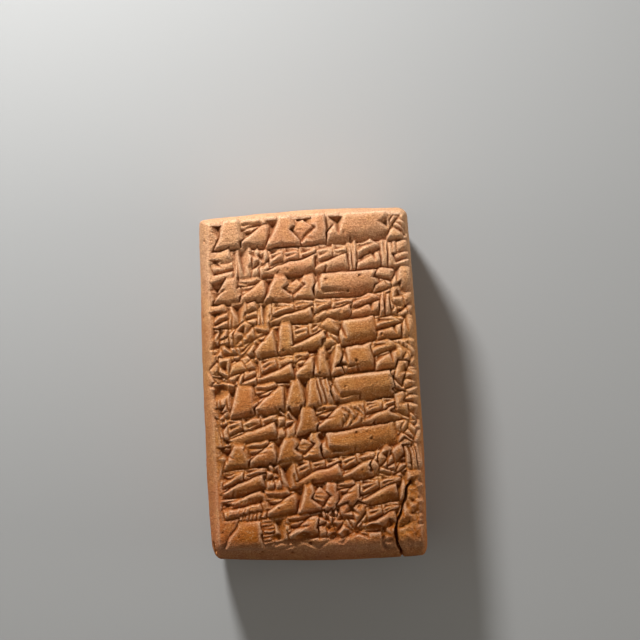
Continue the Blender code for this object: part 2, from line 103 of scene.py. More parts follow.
PAD_TOP, PAD_TILT, GAP_STRAY = 0.12, 0.1, 0.2  # and of its height, tilt and crevice

# Text block of the reverse, which starts at the foot and leaves the rest blank
BACK_LEFT, BACK_RIGHT = -16.2, 16.4
BACK_LINES = [(28.6, 28.9), (23.2, 23.8), (17.8, 18.7), (12.6, 13.4), (7.4, 7.9)]

# Ends of rows that run over onto the right edge
EDGE_LEFT, EDGE_RIGHT = -4.4, 1.8
EDGE_LINES = [(25.0, 25.3), (20.2, 20.4), (15.8, 15.8), (11.6, 11.5)]

# Ruled lines: a step down from one row to the next, with its depth, its reach towards the
# rows above and below it and how far it strays
LINE = 0.14, 1.0, 0.28, 0.2
LAST_LINE = 0.5, 1.5, 0.2, 0.3
RULE_DEPTHS = 0.75, 0.6  # mean and variation of a line's depth, as parts of it
RULE_CURVE = 1.6  # how hollow its sides are

# The jagged crest where the last row breaks off over the blank foot
CREST = [
    (-9.4, -28.2), (-7.7, -28.6), (-5.0, -28.4), (-3.2, -27.5), (-1.6, -28.2), (-0.2, -28.6), (1.7, -27.5),
    (3.6, -28.1), (4.9, -26.8), (7.3, -26.2), (9.5, -26.4), (11.7, -26.1),
]

# The crack at the foot, as places from the written face round onto the foot
CRACK_WIDTH, CRACK_DEPTH = 0.5, 1.7
CRACK = [
    (16.3, -17.6), (15.5, -18.9), (15.2, -20.7), (14.5, -22.6), (13.8, -24.2), (13.3, -25.8), (13.3, -27.5),
    (13.6, -28.9), (14.2, -30.1),
]
CRACK_FOOT = [(14.6, 2.8), (15.0, -0.4)]

# The nick in the left edge near the foot
NICK_WIDTH, NICK_DEPTH = 1.0, 1.5
NICK = [(-18.8, -26.9), (-18.75, -27.7), (-18.6, -28.4)]

# Chips, each with its place, reach across, reach along and depth
CHIPS = [
    (-16.4, -0.3, 1.5, 1.7, 1.1), (3.8, -3.4, 0.8, 0.6, 0.8),
    (0.8, -9.3, 0.7, 0.7, 0.8), (2.4, -26.7, 1.8, 0.8, 0.8),
    (6.8, -25.6, 1.8, 0.7, 0.7), (-5.3, -27.3, 1.6, 0.7, 0.7),
    # broken ground beside the crack and below the last row
    (-7.4, -26.4, 1.2, 0.7, 0.6), (-3.2, -26.6, 1.4, 0.8, 0.6), (5.0, -26.0, 1.3, 0.8, 0.6),
    (9.4, -25.6, 1.4, 0.7, 0.55), (2.2, -25.0, 1.4, 0.9, 0.5), (5.1, 3.3, 1.3, 0.5, 0.7),
    (17.2, -18.4, 0.3, 0.4, 0.4), (17.8, -20.4, 0.4, 0.3, 0.4), (17.0, -23.4, 0.6, 0.2, 0.4),
]

# Crumbly ground, each with its place, reach across, reach along and height
CRUMBLY = [(17.4, -21.0, 1.9, 4.2, 0.34), (16.9, -27.8, 2.2, 2.8, 0.14), (12.4, -27.2, 1.7, 2.6, 0.34)]

HEAD_DEPTH = 0.56  # greatest depth of a press, as a part of its head and of its length
HEAD_RUN = 1.05  # length of a press's head face over its depth
LIP = 0.1  # height of the clay raised round a press, over its depth
LIP_WIDTH = 0.5  # how far up a press's planes that clay reaches
WEAR = 2  # how far wear evens the ridges out
CHIP_ROUGH = 0.16  # height of the lumps on a chip's floor
ROUGH_RIM = 1.15  # where chips and crumbly ground end, over their reach
NOTCHES = 2  # presses at the left end of each row
STROKE_PITCH = 2.0  # spacing of the wedges on the edge
TICK_PITCH = 0.62  # spacing of short ticks and hatching
SCRATCH_PITCH = 0.55  # spacing of fine slanting strokes
DIAMOND_FROM = 7.0  # width from which a valley between two tents holds a diamond
TANGLE_AREA = 3.4  # area of a row that each cushion of a tangle has

# The rest of the skin: lumps and grain, each with its size, height and seed, and pits
LUMPS = (9.0, 0.1, 3), (3.5, 0.05, 4)
GRAIN = 0.9, 0.034, 11
PIT_COUNT = 1000
PIT_SIZES = 0.12, 0.28  # the least, and how much larger the largest is
PIT_DEPTHS = 0.6, 1.0  # over their size

# Splits: stray, variation of the width, and where the walls end: out, in half widths, and up
SPLIT_STRAY, SPLIT_VARY = 0.16, 0.4
SPLIT_TO, SPLIT_OVER = 1.25, 0.5

# What the material reads: how deep or proud a place lies to count fully (the hollows take painted shade
# with dirt, proud places wear with painted highlight), against clay evened out so many times, the lean of
# the pale rims, and the loss of clay where nothing is worn
HOLLOW_FULL, HOLLOW_BLUR = 0.33, 60
PROUD_FULL, PROUD_BLUR, PROUD_SHARE = 0.12, 12, 0.6
RIM_LEAN, RIM_SPREAD, RIM_LEAST, RIM_STEEP = 0.6, 0.5, 0.35, 1.5
LOST_FULL = 0.4

# Camera; the height of its aim is over the middle of the tablet's box
CAMERA_LENS, CAMERA_DISTANCE = 120.0, 374.0
CAMERA_AIM = (1.75, 11.4, 8.0)
CAMERA_YAW, CAMERA_ROLL = 3.0, 2.85

# Lights, each with its place, size, power and tint, and the light from all round
LIGHTS = {
    "key": ((-0.075, 0.205, 0.135), 0.04, 0.98, (1.0, 0.96, 0.91)),
    "right": ((0.32, -0.03, 0.09), 0.14, 0.36, (1.0, 0.93, 0.84)),
    "left": ((-0.32, 0.02, 0.09), 0.14, 0.16, (1.0, 0.93, 0.84)),
    "fill": ((-0.5, -0.15, 0.9), 0.8, 0.75, (1.0, 0.88, 0.74)),
}
WORLD_TINT = (1.0, 0.89, 0.74, 1)
WORLD_STRENGTH = 0.145

# Colours, as 0 to 255 on a screen
DUN, PALE_DUN = (190, 132, 75), (209, 157, 99)
BROWN, PALE_BROWN = (147, 81, 20), (167, 97, 27)
# Of the colours below, the first is painted shade on the foot's end, where the rounded foot turns away from
# the light
# Of the colours below, the second pales the head: a paler tone there together with painted light
FOOT_SHADE, HEAD_PALE_AND_LIGHT, BLUSH, DUST = (104, 58, 18), (216, 172, 142), (190, 108, 60), (210, 155, 92)
# Colours of the hollows: painted shade darkening the crevices, along with dirt
RED_GRIME_AND_SHADE, BROWN_GRIME_AND_SHADE = (98, 36, 1), (78, 43, 8)
# Pale rims and crests: wear together with painted highlight, strongest on rims facing the head's light
WORN_AND_HIGHLIGHT, SPECK, GRIT = (236, 204, 174), (124, 62, 14), (222, 180, 132)
FLOOR_GREY = (160, 164, 168)
FLOOR_HALF = 1.5

# Rows of text, as the groups of marks in them, each with its width along the row
FRONT_ROWS = [
    "peak 5.2, rungs 4.4, vee 10.2, blank 9.8, fan 5",
    "box 4.6, post 2, hooks 3, ramp 8.6, ramp 5.6, comb 1.4, arrow 4.2, comb 2.4, box 3.6",
    "peak 4.4, rungs 4.6, vee 8.8, bar 11.2, tangle 2.4, blank 4.2",
    "box 2.6, post 2.4, box 2.4, post 2, ramp 6.6, ramp 6.4, arrow 4.8, comb 2.6, tangle 3.4",
    "slant 2, tangle 5.2, rungs 3.6, peak 3.2, ramp 6, tangle 2.4, bar 6.6, arrow 4.8, blank 2.6",
    "tangle 4.6, box 2.6, ramp 6.6, rungs 3.2, vee 5, bar 5.4, arrow 4.6, scratch 3.4",
    "comb 1.4, peak 4.8, rungs 5, vee 5.8, comb 2, bar 11, tangle 4",
    "comb 1, ramp 7.8, hooks 2.4, peak 3.6, rungs 4, scratch 3.8, ramp 5.4, tangle 3.2",
    "peak 4.4, rungs 5, vee 7.6, bar 12.8, fan 4.2",
    "ramp 7.2, hooks 2.6, post 2.2, ramp 7.4, ramp 5.6, tangle 4.8, comb 3",
    "brush 6.4, rungs 4.6, vee 6, rungs 3.4, ramp 6.2, blank 3.6",
    "lump 5.8, ladder 1.6, post 2, rungs 4.6, hooks 3.2, tangle 4, ramp 4.8, blank 4.2",
]
BACK_ROWS = [
    "ramp 7.6, rungs 4.6, post 2.4, bar 9, fan 4.4, tangle 4.2",
    "peak 4.6, rungs 5.2, ramp 7.4, hooks 3.6, rungs 5, arrow 5.4",
    "hooks 4.6, arrow 5.6, peak 4.4, ramp 7.8, comb 2.8, bar 7.4",
    "rungs 5.4, post 2.8, ramp 7.6, tangle 3.4, bar 13.4",
]
EDGE_ROWS = [
    "strokes 6.2",
    "strokes 4.2, bare 2",
    "bare 0.6, strokes 5.6",
]


# ---- the plain lump of clay

def half_width(y):
    """Half of the outline's width at a place along the tablet."""
    return HALF_WIDTH * (1 - WAIST_LOSS * ((y - WAIST_Y) / WAIST_REACH) ** 2)


def end_shift(x, y):
    """How far the head and the foot of the outline depart from straight ends."""
    n = x / HALF_WIDTH
    head = (HEAD_TILT * n + HEAD_BOW * n * n) * (np.maximum(y, 0) / HALF_LENGTH) ** 3
    foot = (FOOT_SHIFT + FOOT_TILT * n + FOOT_BOW * n * n) * (np.maximum(-y, 0) / HALF_LENGTH) ** 3
    return head + foot


def bulge(x, y, crown):
    """Height that a face gains towards its middle."""
    across = np.maximum(0, 1 - np.abs(x / HALF_WIDTH) ** CROWN_POWER)
    along = np.maximum(0, 1 - np.abs(y / HALF_LENGTH) ** CROWN_POWER)
    return crown * across * along


def soft_end(y):
    """Reach of the rounded edge at the head or at the foot."""
    return np.where(y > 0, SOFT_HEAD, SOFT_FOOT)


def corner_reach(qx, qy, x, y):
    """Length of a step past the inner box, rounder or squarer at each corner."""
    power = np.zeros(np.shape(x))
    for (east, north), value in CORNER_POWERS.items():
        power = power + value * ((x > 0) == (east > 0)) * ((y > 0) == (north > 0))
    return (np.abs(qx) ** power + np.abs(qy) ** power) ** (1 / power)


def face_height(x, y):
    """Height of the written face at a place in the outline."""
    y = y - end_shift(x, y)
    x = x * HALF_WIDTH / half_width(y)
    qx = np.maximum(0, np.abs(x) - HALF_WIDTH + SOFT_SIDE) / SOFT_SIDE
    qy = np.maximum(0, np.abs(y) - HALF_LENGTH + soft_end(y)) / soft_end(y)
    rise = np.sqrt(1 - np.minimum(1, corner_reach(qx, qy, x, y)) ** 2)
    return RIM_UP - SOFT_UP * (1 - rise) + bulge(x, y, CROWN_UP)


def on_front(u, v):
    """Point of the written face: u to the right, v towards the head of the text."""
    return np.array((u, v, face_height(u, v)))


def on_foot(u, v):
    """Point of the foot's end face: u to the right, v up towards the written face."""
    past = unit(max((v - (RIM_UP - SOFT_UP)) / SOFT_UP, -v / SOFT_DOWN))
    reach = HALF_LENGTH - SOFT_FOOT * (1 - np.sqrt(1 - past * past))
    return np.array((u, end_shift(u, -reach) - reach, v))


def block_lattice(counts):
    """Corners of the cells on a block's skin, from -1 to 1 each way, and the quads between them."""
    strides = np.array([(counts[1] + 1) * (counts[2] + 1), counts[2] + 1, 1])
    quads = []
    for axis in range(3):
        a, b = (axis + 1) % 3, (axis + 2) % 3
        steps = np.meshgrid(np.arange(counts[a] + 1), np.arange(counts[b] + 1), indexing="ij")
        for side in (0, counts[axis]):
            key = steps[0] * strides[a] + steps[1] * strides[b] + side * strides[axis]
            corners = [key[:-1, :-1], key[1:, :-1], key[1:, 1:], key[:-1, 1:]]
            if side == 0:
                corners.reverse()
            quads.append(np.stack(corners, -1).reshape(-1, 4))
    keys, quads = np.unique(np.concatenate(quads), return_inverse=True)
    places = np.stack(np.unravel_index(keys, np.array(counts) + 1), -1)
    return places / np.array(counts) * 2.0 - 1.0, quads.reshape(-1, 4)


def body_points(block):
    """Where points of the plain block lie on the lump of clay."""
    px, py = block[:, 0] * HALF_WIDTH, block[:, 1] * HALF_LENGTH
    upward = block[:, 2] > 0
    soft = np.where(upward, SOFT_UP, SOFT_DOWN)
    rim = np.where(upward, RIM_UP, RIM_DOWN)
    inner_x = np.clip(px, -HALF_WIDTH + SOFT_SIDE, HALF_WIDTH - SOFT_SIDE)
    inner_y = np.clip(py, -HALF_LENGTH + SOFT_FOOT, HALF_LENGTH - SOFT_HEAD)
    qx, qy = (px - inner_x) / SOFT_SIDE, (py - inner_y) / soft_end(py)
    qz = np.abs(block[:, 2])
    norm = np.hypot(corner_reach(qx, qy, px, py), qz)
    x = inner_x + SOFT_SIDE * qx / norm
    y = inner_y + soft_end(py) * qy / norm
    z = rim - soft + soft * qz / norm
    z += bulge(x, y, np.where(upward, CROWN_UP, CROWN_DOWN)) * (qz / norm) ** 2
    z = np.where(upward, z, -np.minimum(z, REST_DEPTH))
    x = x * half_width(y) / HALF_WIDTH
    return np.stack([x, y + end_shift(x, y), z], -1)


# ---- tools that shape the clay

def unit(values):
    """Values held between 0 and 1."""
    return np.clip(values, 0, 1)


def smooth(share):
    """A share from 0 to 1 that starts and ends gently."""
    return share * share * (3 - 2 * share)


def value_noise(points, scale, seed):
    """Smooth noise from -1 to 1 with lumps of about the given size."""
    shifted = points / scale + 17.31 * seed
    cell = np.floor(shifted).astype(np.int64)
    part = smooth(shifted - cell)
    total = np.zeros(len(points))
    for corner in np.ndindex(2, 2, 2):
        spot = cell + corner
        code = spot[:, 0] * 73856093 ^ spot[:, 1] * 19349663 ^ spot[:, 2] * 83492791 ^ seed * 2654435761
        code = (code ^ (code >> 13)) * 1274126177 & 0xFFFFFFFF
        code = (code ^ (code >> 15)) * 2246822519 & 0xFFFFFFFF
        weight = np.prod(np.where(corner, part, 1 - part), -1)
        total += weight * ((code >> 8 & 0xFFFF) / 32767.5 - 1)
    return total


def rough_noise(points, scale, seed, octaves):
    """Noise with finer and finer lumps added."""
    total = np.zeros(len(points))
    for k in range(octaves):
        total += value_noise(points, scale / 2 ** k, seed + k) / 2 ** k
    return total


def blend_min(a, b, soft):
    """The lower of two surfaces, rounded where they cross."""
    near = np.maximum(soft - np.abs(a - b), 0) / soft
    return np.minimum(a, b) - near * near * soft / 4


class Clay:
    """The skin of the tablet: where its points rest, and how far each is pushed out or in."""

    CELL = 2.0      # size of the cells that its points are sorted into

    def __init__(self):
        block, self.quads = block_lattice(LATTICE)
        self.rest = body_points(block)
        self.out = self.corner_normals()
        self.push = np.zeros(len(self.rest))
        self.whole = self.push.copy()       # the push before anything is split or pitted
        self.edges = np.concatenate([self.quads[:, [k, (k + 1) % 4]] for k in range(4)])
        cells = np.floor(self.rest / self.CELL).astype(int)
        order = np.lexsort(cells.T[::-1])
        starts = 1 + np.flatnonzero(np.any(np.diff(cells[order], axis=0), axis=1))
        self.cells = {tuple(cells[part[0]]): part for part in np.split(order, starts)}

    def corner_normals(self):
        """The way out of the clay at each point."""
        corners = self.rest[self.quads]
        cross = np.cross(corners[:, 2] - corners[:, 0], corners[:, 3] - corners[:, 1])
        total = np.empty_like(self.rest)
        for axis in range(3):
            total[:, axis] = np.bincount(self.quads.ravel(), np.repeat(cross[:, axis], 4), len(self.rest))
        return total / np.linalg.norm(total, axis=1, keepdims=True)

    def blur(self, values, times):
        """Values evened out between neighbours."""
        here, there = self.edges.T
        count = np.bincount(here, minlength=len(values))
        for _ in range(times):
            values = (values + np.bincount(here, values[there], len(values)) / count) / 2
        return values

    def near(self, centre, reach):
        """Indices of the points about a place."""
        low = np.floor((centre - reach) / self.CELL).astype(int)
        high = np.floor((centre + reach) / self.CELL).astype(int)
        about = product(*(range(start, stop + 1) for start, stop in zip(low, high)))
        found = [self.cells[cell] for cell in about if cell in self.cells]
        return np.concatenate(found) if found else np.zeros(0, int)


def sides(corners, du, dv):
    """The way each side runs between its corners, and how far inside it each place lies."""
    for start, end in zip(corners, np.roll(corners, -1, axis=0)):
        along = (end - start) / np.linalg.norm(end - start)
        yield along, (dv - start[1]) * along[0] - (du - start[0]) * along[1]


class Relief:
    """Heights over a flat patch, cut and built up before they are laid on the clay's skin."""

    def __init__(self, low, high, seed):
        self.low = np.array(low, float)
        counts = np.ceil((np.array(high) - self.low) / RELIEF_STEP).astype(int) + 1
        self.u = self.low[0] + RELIEF_STEP * np.arange(counts[0])
        self.v = self.low[1] + RELIEF_STEP * np.arange(counts[1])
        self.height = np.zeros(counts)
        self.seed = seed
        # noise for ruled lines and broken ground
        self.wander = self.noise(4.0, 1) + 0.3 * self.noise(1.3, 2)
        self.vary = self.noise(5.0, 3)
        self.lumps, self.crumbs = self.noise(1.1, 4), self.noise(0.7, 5, 3)

    def noise(self, scale, seed, octaves=1):
        """Noise over the whole patch."""
        u, v = np.meshgrid(self.u, self.v, indexing="ij")
        points = np.stack([u.ravel(), v.ravel(), np.full(u.size, 0.37 * seed)], -1)
        return rough_noise(points, scale, seed + self.seed, octaves).reshape(self.height.shape)

    def window(self, u, v, reach):
        """The part of the patch about a place, and how far each of its points lies from there."""
        spot = np.array((u, v))
        low = np.floor((spot - reach - self.low) / RELIEF_STEP).astype(int)
        high = np.ceil((spot + reach - self.low) / RELIEF_STEP).astype(int) + 1
        part = tuple(map(slice, np.maximum(low, 0), np.maximum(high, 0)))
        return part, self.u[part[0], None] - u, self.v[None, part[1]] - v

    def press(self, u, v, turn, length, head, depth, skew):
        """One stylus corner: a head face and two side faces that meet in a valley."""
        angle = math.radians(turn)
        ahead, aside = math.cos(angle), math.sin(angle)
        middle = length * 0.4
        part, du, dv = self.window(u + middle * ahead, v + middle * aside, max(length, head) * 0.6 + 0.8)
        a = du * ahead + dv * aside + middle
        b = dv * ahead - du * aside
        run = depth * HEAD_RUN
        left = head / 2 * (1 - run / length)
        valley = skew * head * (1 - run / length)
        taper = head / 2 * (1 - a / length)
        side_a = -depth * (b + taper) / (valley + left)
        side_b = -depth * (taper - b) / (left - valley)
        floor = np.maximum(np.maximum(side_a, side_b), -a * depth / run)
        lip = LIP * depth * np.exp(-(np.maximum(floor, 0) / LIP_WIDTH) ** 2) * (floor > 0)
        lip *= unit((length - a) / length * 2) * unit(a + 1)
        self.height[part] = np.minimum(self.height[part] + lip, floor)

    def pad(self, corners, top, soft, gap, tilt, merged):
        """A cushion laid between its corners: sharp at its upper side, falling away to its lower.

        A narrow crevice runs along the sides that aren't merged into the clay beside them.
        """
        centre = np.mean(corners, 0)
        corners = np.array(corners) - centre
        reach = np.max(np.linalg.norm(corners, axis=1)) + GAP_WIDTH + PAD_GROW
        part, du, dv = self.window(*centre, reach)
        cut = self.height[part]
        half = max(0.5, np.max(corners @ np.array(UPPER)))
        rise = np.clip((du * UPPER[0] + dv * UPPER[1]) / half, -1.4, 1.4)
        crest = top + tilt[0] * du + tilt[1] * dv + CROWN * min(1.0, half / CROWN_FROM) * (1 - rise ** 2)
        inside, joined = np.full(cut.shape, FAR), np.full(cut.shape, FAR)
        cushion = crest + 0 * du
        for index, (along, away) in enumerate(sides(corners, du, dv)):
            away = away + PAD_GROW
            if index in merged:
                joined = np.minimum(joined, away)
                continue
            inside = np.minimum(inside, away)
            upper = 0.5 + 0.5 * (along[1] * UPPER[0] - along[0] * UPPER[1])
            width = soft * (UPPER_SOFT + (LOWER_SOFT - UPPER_SOFT) * (1 - upper) ** 2)
            drop = gap * (1 + (UPPER_DROP - 1) * upper)
            past = 1 - unit(away / width)
            fall = past ** 2 + upper * (1 - np.sqrt(1 - past ** 2) - past ** 2)
            cushion = blend_min(cushion, crest - (crest + drop) * fall, PAD_ROUND)
        crevice = np.minimum(cut, -gap * (1 + inside / GAP_WIDTH))
        made = np.where(inside > 0, cushion, np.where(inside > -GAP_WIDTH, crevice, cut))
        cut += (made - cut) * smooth(unit(joined / MERGE + 0.5))

    def sink(self, corners):
        """The ground of a row, pressed down below the clay round the text."""
        centre = np.mean(corners, 0)
        corners = np.array(corners) - centre
        part, du, dv = self.window(*centre, np.max(np.linalg.norm(corners, axis=1)))
        inside = np.minimum.reduce([away for _, away in sides(corners, du, dv)])
        self.height[part] -= GROUND_SINK * smooth(unit(inside / SINK_SOFT))

    def rule(self, route, depth, above, below, stray):
        """A ruled line, with its reach towards the row above and below and how far it strays."""
        along, up = np.array(route).T
        a = self.u[:, None] - along[0]
        b = self.v[None, :] - np.interp(self.u, along, up)[:, None] + stray * self.wander
        deep = depth * (RULE_DEPTHS[0] + RULE_DEPTHS[1] * self.vary)
        starts = unit((a + 0.6) / 0.8)
        ends = unit((along[-1] - along[0] + 1.0 - a) / 1.5)
        side = np.where(b > 0, b / above, -b / below)
        self.height -= np.maximum(deep * starts * ends, 0) * unit(1 - side) ** RULE_CURVE

    def chip(self, u, v, across, along, depth):
        """A chip: a hollow with a broken, lumpy floor."""
        part, du, dv = self.window(u, v, max(across, along) * 1.7)
        cut = self.height[part]
        reach = np.hypot(du / across, dv / along) + 0.35 * self.lumps[part]
        floor = -depth * (1 - np.clip(reach, 0, 2) ** 2.5) + CHIP_ROUGH * self.crumbs[part]
        cut[...] = np.where(reach < ROUGH_RIM, np.minimum(cut, floor), cut)

    def crumble(self, u, v, across, along, height):
        """Crumbly ground over an oval, in place of any marks there."""
        part, du, dv = self.window(u, v, max(across, along) * 1.5)
        reach = np.hypot(du / across, dv / along) + 0.3 * self.lumps[part]
        share = unit((ROUGH_RIM - reach) / 0.3)
        ground = height * (self.crumbs[part] - 0.2) + height * self.lumps[part]
        self.height[part] += (ground - self.height[part]) * share

    def blur(self, values, times):
        """Values evened out between neighbours."""
        for _ in range(times):
            for axis in (0, 1):
                rows = np.moveaxis(values, axis, 0)
                before, after = np.concatenate([rows[:1], rows[:-1]]), np.concatenate([rows[1:], rows[-1:]])
                values = np.moveaxis(rows / 2 + (before + after) / 4, 0, axis)
        return values

    def wear(self):
        """Ridges rounded off while the valleys stay crisp."""
        self.height = self.blur(np.minimum(self.height, self.blur(self.height, WEAR)), 1)

    def at(self, u, v):
        """Heights read between the patch's points, with their outlines wavering."""
        spots = np.stack([u, v, 0 * u], -1)
        for number, (scale, reach) in enumerate(WARP):
            u = u + reach * value_noise(spots, scale, self.seed + 40 + 2 * number)
            v = v + reach * value_noise(spots, scale, self.seed + 41 + 2 * number)
        i = np.clip((u - self.low[0]) / RELIEF_STEP, 0, self.height.shape[0] - 1.001)
        j = np.clip((v - self.low[1]) / RELIEF_STEP, 0, self.height.shape[1] - 1.001)
        i0, j0 = i.astype(int), j.astype(int)
        fi, fj = i - i0, j - j0
        h = self.height
        low = h[i0, j0] * (1 - fj) + h[i0, j0 + 1] * fj
        high = h[i0 + 1, j0] * (1 - fj) + h[i0 + 1, j0 + 1] * fj
        return low * (1 - fi) + high * fi


class Row:
    """One row of text on a patch: places run along from its left end and up from its ruled line."""

    def __init__(self, relief, above, below, left, right, draw):
        self.relief, self.draw = relief, draw
        self.above, self.below, self.left, self.right = above, below, left, right
        self.slope = math.atan2(below[1] - below[0], right - left)
        self.start = 0.0        # left end of the group that is being laid

    def tall(self, along):
        """Height of the row at a place along it."""
        part = along / (self.right - self.left)
        return (self.above[0] - self.below[0]) * (1 - part) + (self.above[1] - self.below[1]) * part

    def place(self, along, up):
        """A place of the row on the patch."""
        ahead, aside = math.cos(self.slope), math.sin(self.slope)
        return self.left + along * ahead - up * aside, self.below[0] + along * aside + up * ahead

    def j(self, size):
        """A draw that is at most this far from nothing."""
        return self.draw.uniform(-size, size)

    def press(self, along, up, turn, length, head, depth, skew=0.0):
        u, v = self.place(self.start + along + self.j(PRESS_STRAY), up + self.j(PRESS_STRAY))
        turn += math.degrees(self.slope) + self.j(TURN_STRAY)
        length, head = length * (1 + self.j(SIZE_STRAY)), head * (1 + self.j(SIZE_STRAY))
        deep = min(depth * PRESS_DEPTH * (1 + self.j(SIZE_STRAY)), head * HEAD_DEPTH, length * HEAD_DEPTH)
        self.relief.press(u, v, turn, length, head, deep, skew)

    def pad(self, corners, top, soft, gap, merged=(), tilt=0.0):
        spots = [self.place(self.start + along + self.j(PAD_ALONG), up + self.j(PAD_UP))
                 for along, up in corners]
        top, gap = top + self.j(PAD_TOP), gap * GAP_DEPTH * (1 + self.j(GAP_STRAY))
        self.relief.pad(spots, top, soft, gap, (self.j(PAD_TILT), tilt + self.j(PAD_TILT)), merged)


# Groups of marks, measured from their left end and the ruled line. Cushions stand between the
# presses, with their corners anticlockwise from the lower left, height, softness, depth of
# crevice, merged sides and tilt. Presses have the middle of the head, the way the tail points,
# the length, the width of the head, the depth and how far the valley lies off the middle.

def slat(row, x, y, turn, long, wide, top):
    """A loose cushion about a place, of half the given length and width."""
    ahead, aside = math.cos(turn), math.sin(turn)
    ends = [(-long, -wide), (long, -wide * 0.6), (long * 0.8, wide), (-long * 0.6, wide * 0.8)]
    row.pad([(x + a * ahead - b * aside, y + a * aside + b * ahead) for a, b in ends], top, 0.6, 0.8)


def shares(w, count):
    """Equal parts of a group: the number, left end and width of each."""
    return [(k, k * w / count, w / count) for k in range(count)]


def post(row, w, h):
    row.pad([(0, -0.1), (w, 0), (w * 0.98, h), (w * 0.05, h * 0.95)], -0.05, 0.5, 0.7, (2,))
    row.press(w * 0.45, h, -93, h * 0.98, min(2.6, w * 1.1), 0.95, -0.2)
    row.press(w * 0.75, h * 0.5, -86, h * 0.4, 0.6, 0.4)


def peak(row, w, h):
    row.pad([(0.1, 0.05), (w + 0.3, -0.1), (w * 0.92, h), (w * 0.5, h * 1.04)],
            0.12, 0.6, 0.9, (2,), 0.05)
    row.press(w * 0.16, h * 1.03, -92, h * 0.72, min(3.1, w * 0.62), 1.3, 0.2)
    row.press(w * 0.94, -0.2, 96, h * 0.26, 1.1, 0.5)


def rungs(row, w, h):
    """A slab that climbs to the right under level wedges."""
    row.pad([(0.1, h * 0.7), (w * 0.76, h * 0.82), (w * 0.72, h * 1.02), (0.1, h * 0.98)],
            -0.05, 0.5, 0.7, (2,))
    row.pad([(-0.1, -0.1), (w, 0), (w, h * 0.84), (w * 0.84, h * 0.8), (0, h * 0.24)],
            0.14, 0.7, 0.9)
    row.press(-0.1, h * 0.86, -4, w * 0.7, h * 0.22, 0.6, -0.3)
    row.press(-0.1, h * 0.56, -2, w * 0.55, h * 0.34, 0.95, -0.3)


def vee(row, w, h):
    """Two tents with a scored diamond in the valley between them."""
    row.pad([(-0.2, -0.1), (w * 0.56, 0), (w * 0.57, h * 0.14), (w * 0.4, h * 1.02),
             (w * 0.22, h * 1.02)], 0.12, 0.5, 0.8, (3,))
    row.pad([(w * 0.58, 0), (w + 0.1, -0.1), (w * 0.95, h), (w * 0.78, h * 1.02),
             (w * 0.58, h * 0.14)], 0.12, 0.5, 0.8, (2,))
    row.press(w * 0.06, h * 1.03, -90, h * 0.7, min(3.0, w * 0.3), 1.2, 0.2)
    row.press(w * 0.58, h * 1.06, -90, h * 0.9, w * 0.4, 1.1)
    if w < DIAMOND_FROM:
        return
    middle, wide = w * 0.58, min(1.6, w * 0.17)
    row.pad([(middle, h * 0.26), (middle + wide, h * 0.56), (middle, h * 0.84),
             (middle - wide, h * 0.56)], -0.18, 0.4, 0.6)
    for k in range(3):
        row.press(middle - wide * 0.7, h * (0.68 - 0.12 * k), -10 - 8 * k, wide * 1.3, 0.45, 0.35, -0.3)


def ramp(row, w, h):
    parts = max(1, round(w / 3.2))
    for k, left, wide in shares(w, parts):
        left += 0.1
        low = h * (0.36 + 0.2 * (k + 0.5) / parts)
        row.pad([(left + 0.1, low), (left + wide - 0.1, low + h * 0.14), (left + wide + 0.2, h * 0.8),
                 (left + 0.15, h * 0.92)], -0.12, 0.5, 0.7)
        row.press(left, h * 0.9, -6, wide * 0.85, h * 0.3, 0.75, -0.34)
        row.press(left + wide * 0.1, h * 0.66, 10, wide * 0.7, 0.8, 0.6, -0.3)
    row.pad([(-0.2, h * -0.02), (w - 0.15, h * 0.02), (w - 0.1, h * 0.66), (-0.1, h * 0.22)],
            0.18, 1.0, 1.0, (3,), 0.05)
    row.press(w, h * 0.66, -93, h * 0.66, 1.4, 1.2, -0.3)
    row.press(w * 0.12, h * -0.08, 60, h * 0.3, 1.2, 0.6)


def comb(row, w, h):
    for k, left, wide in shares(w, max(2, round(w))):
        lean = row.j(0.22)
        row.pad([(left, 0), (left + wide * 0.9, h * 0.03), (left + wide * 0.9 + lean, h * 0.95),
                 (left + lean, h * (0.98 - 0.12 * (k % 2)))], -0.02, 0.45, 0.8)
        row.press(left + wide * 0.4 + lean, h, -90, h * 0.4, 0.8, 0.6)


def box(row, w, h):
    row.pad([(-0.1, h * -0.06), (w * 0.8, 0), (w * 0.8, h * 0.4), (0.1, h * 0.22)],
            0.1, 0.6, 0.85, (3,))
    row.pad([(0.1, h * 0.28), (w * 0.78, h * 0.4), (w * 0.74, h * 0.66), (-0.1, h * 0.52)],
            -0.05, 0.45, 0.75)
    row.pad([(w * 0.16, h * 0.6), (w * 0.78, h * 0.68), (w * 0.64, h), (w * 0.2, h * 0.92)],
            0.0, 0.5, 0.75, (3,))
    row.pad([(w * 0.8, 0), (w * 1.02, 0), (w * 1.04, h * 0.94), (w * 0.86, h * 0.8)], 0.05, 0.5, 0.8)
    row.press(w * 0.84, h * 1.02, -92, h * 0.8, 1.6, 1.0, 0.2)
    row.press(w * 0.05, h * 0.6, -6, w * 0.5, 0.8, 0.7, -0.3)


def hooks(row, w, h):
    for k, left, wide in shares(w, max(2, round(w / 1.5))):
        row.pad([(left, h * -0.04), (left + wide * 1.1, h * 0.06), (left + wide * 0.95, h * 0.5),
                 (left + 0.1, h * 0.36)], 0.04, 0.5, 0.8)
        row.pad([(left + wide * 0.1, h * 0.44), (left + wide * 1.2, h * 0.6),
                 (left + wide * 0.85, h * 0.98), (left + wide * 0.3, h * 0.82)], -0.03, 0.5, 0.8)
        row.press(left + 0.1, h * (0.94 - 0.12 * (k % 2)), -50 + row.j(22), 1.9, 1.6, 0.95)
        row.press(left + wide * 0.2, h * 0.42, 10 + row.j(20), wide * 0.9, 1.0, 0.85, -0.2)


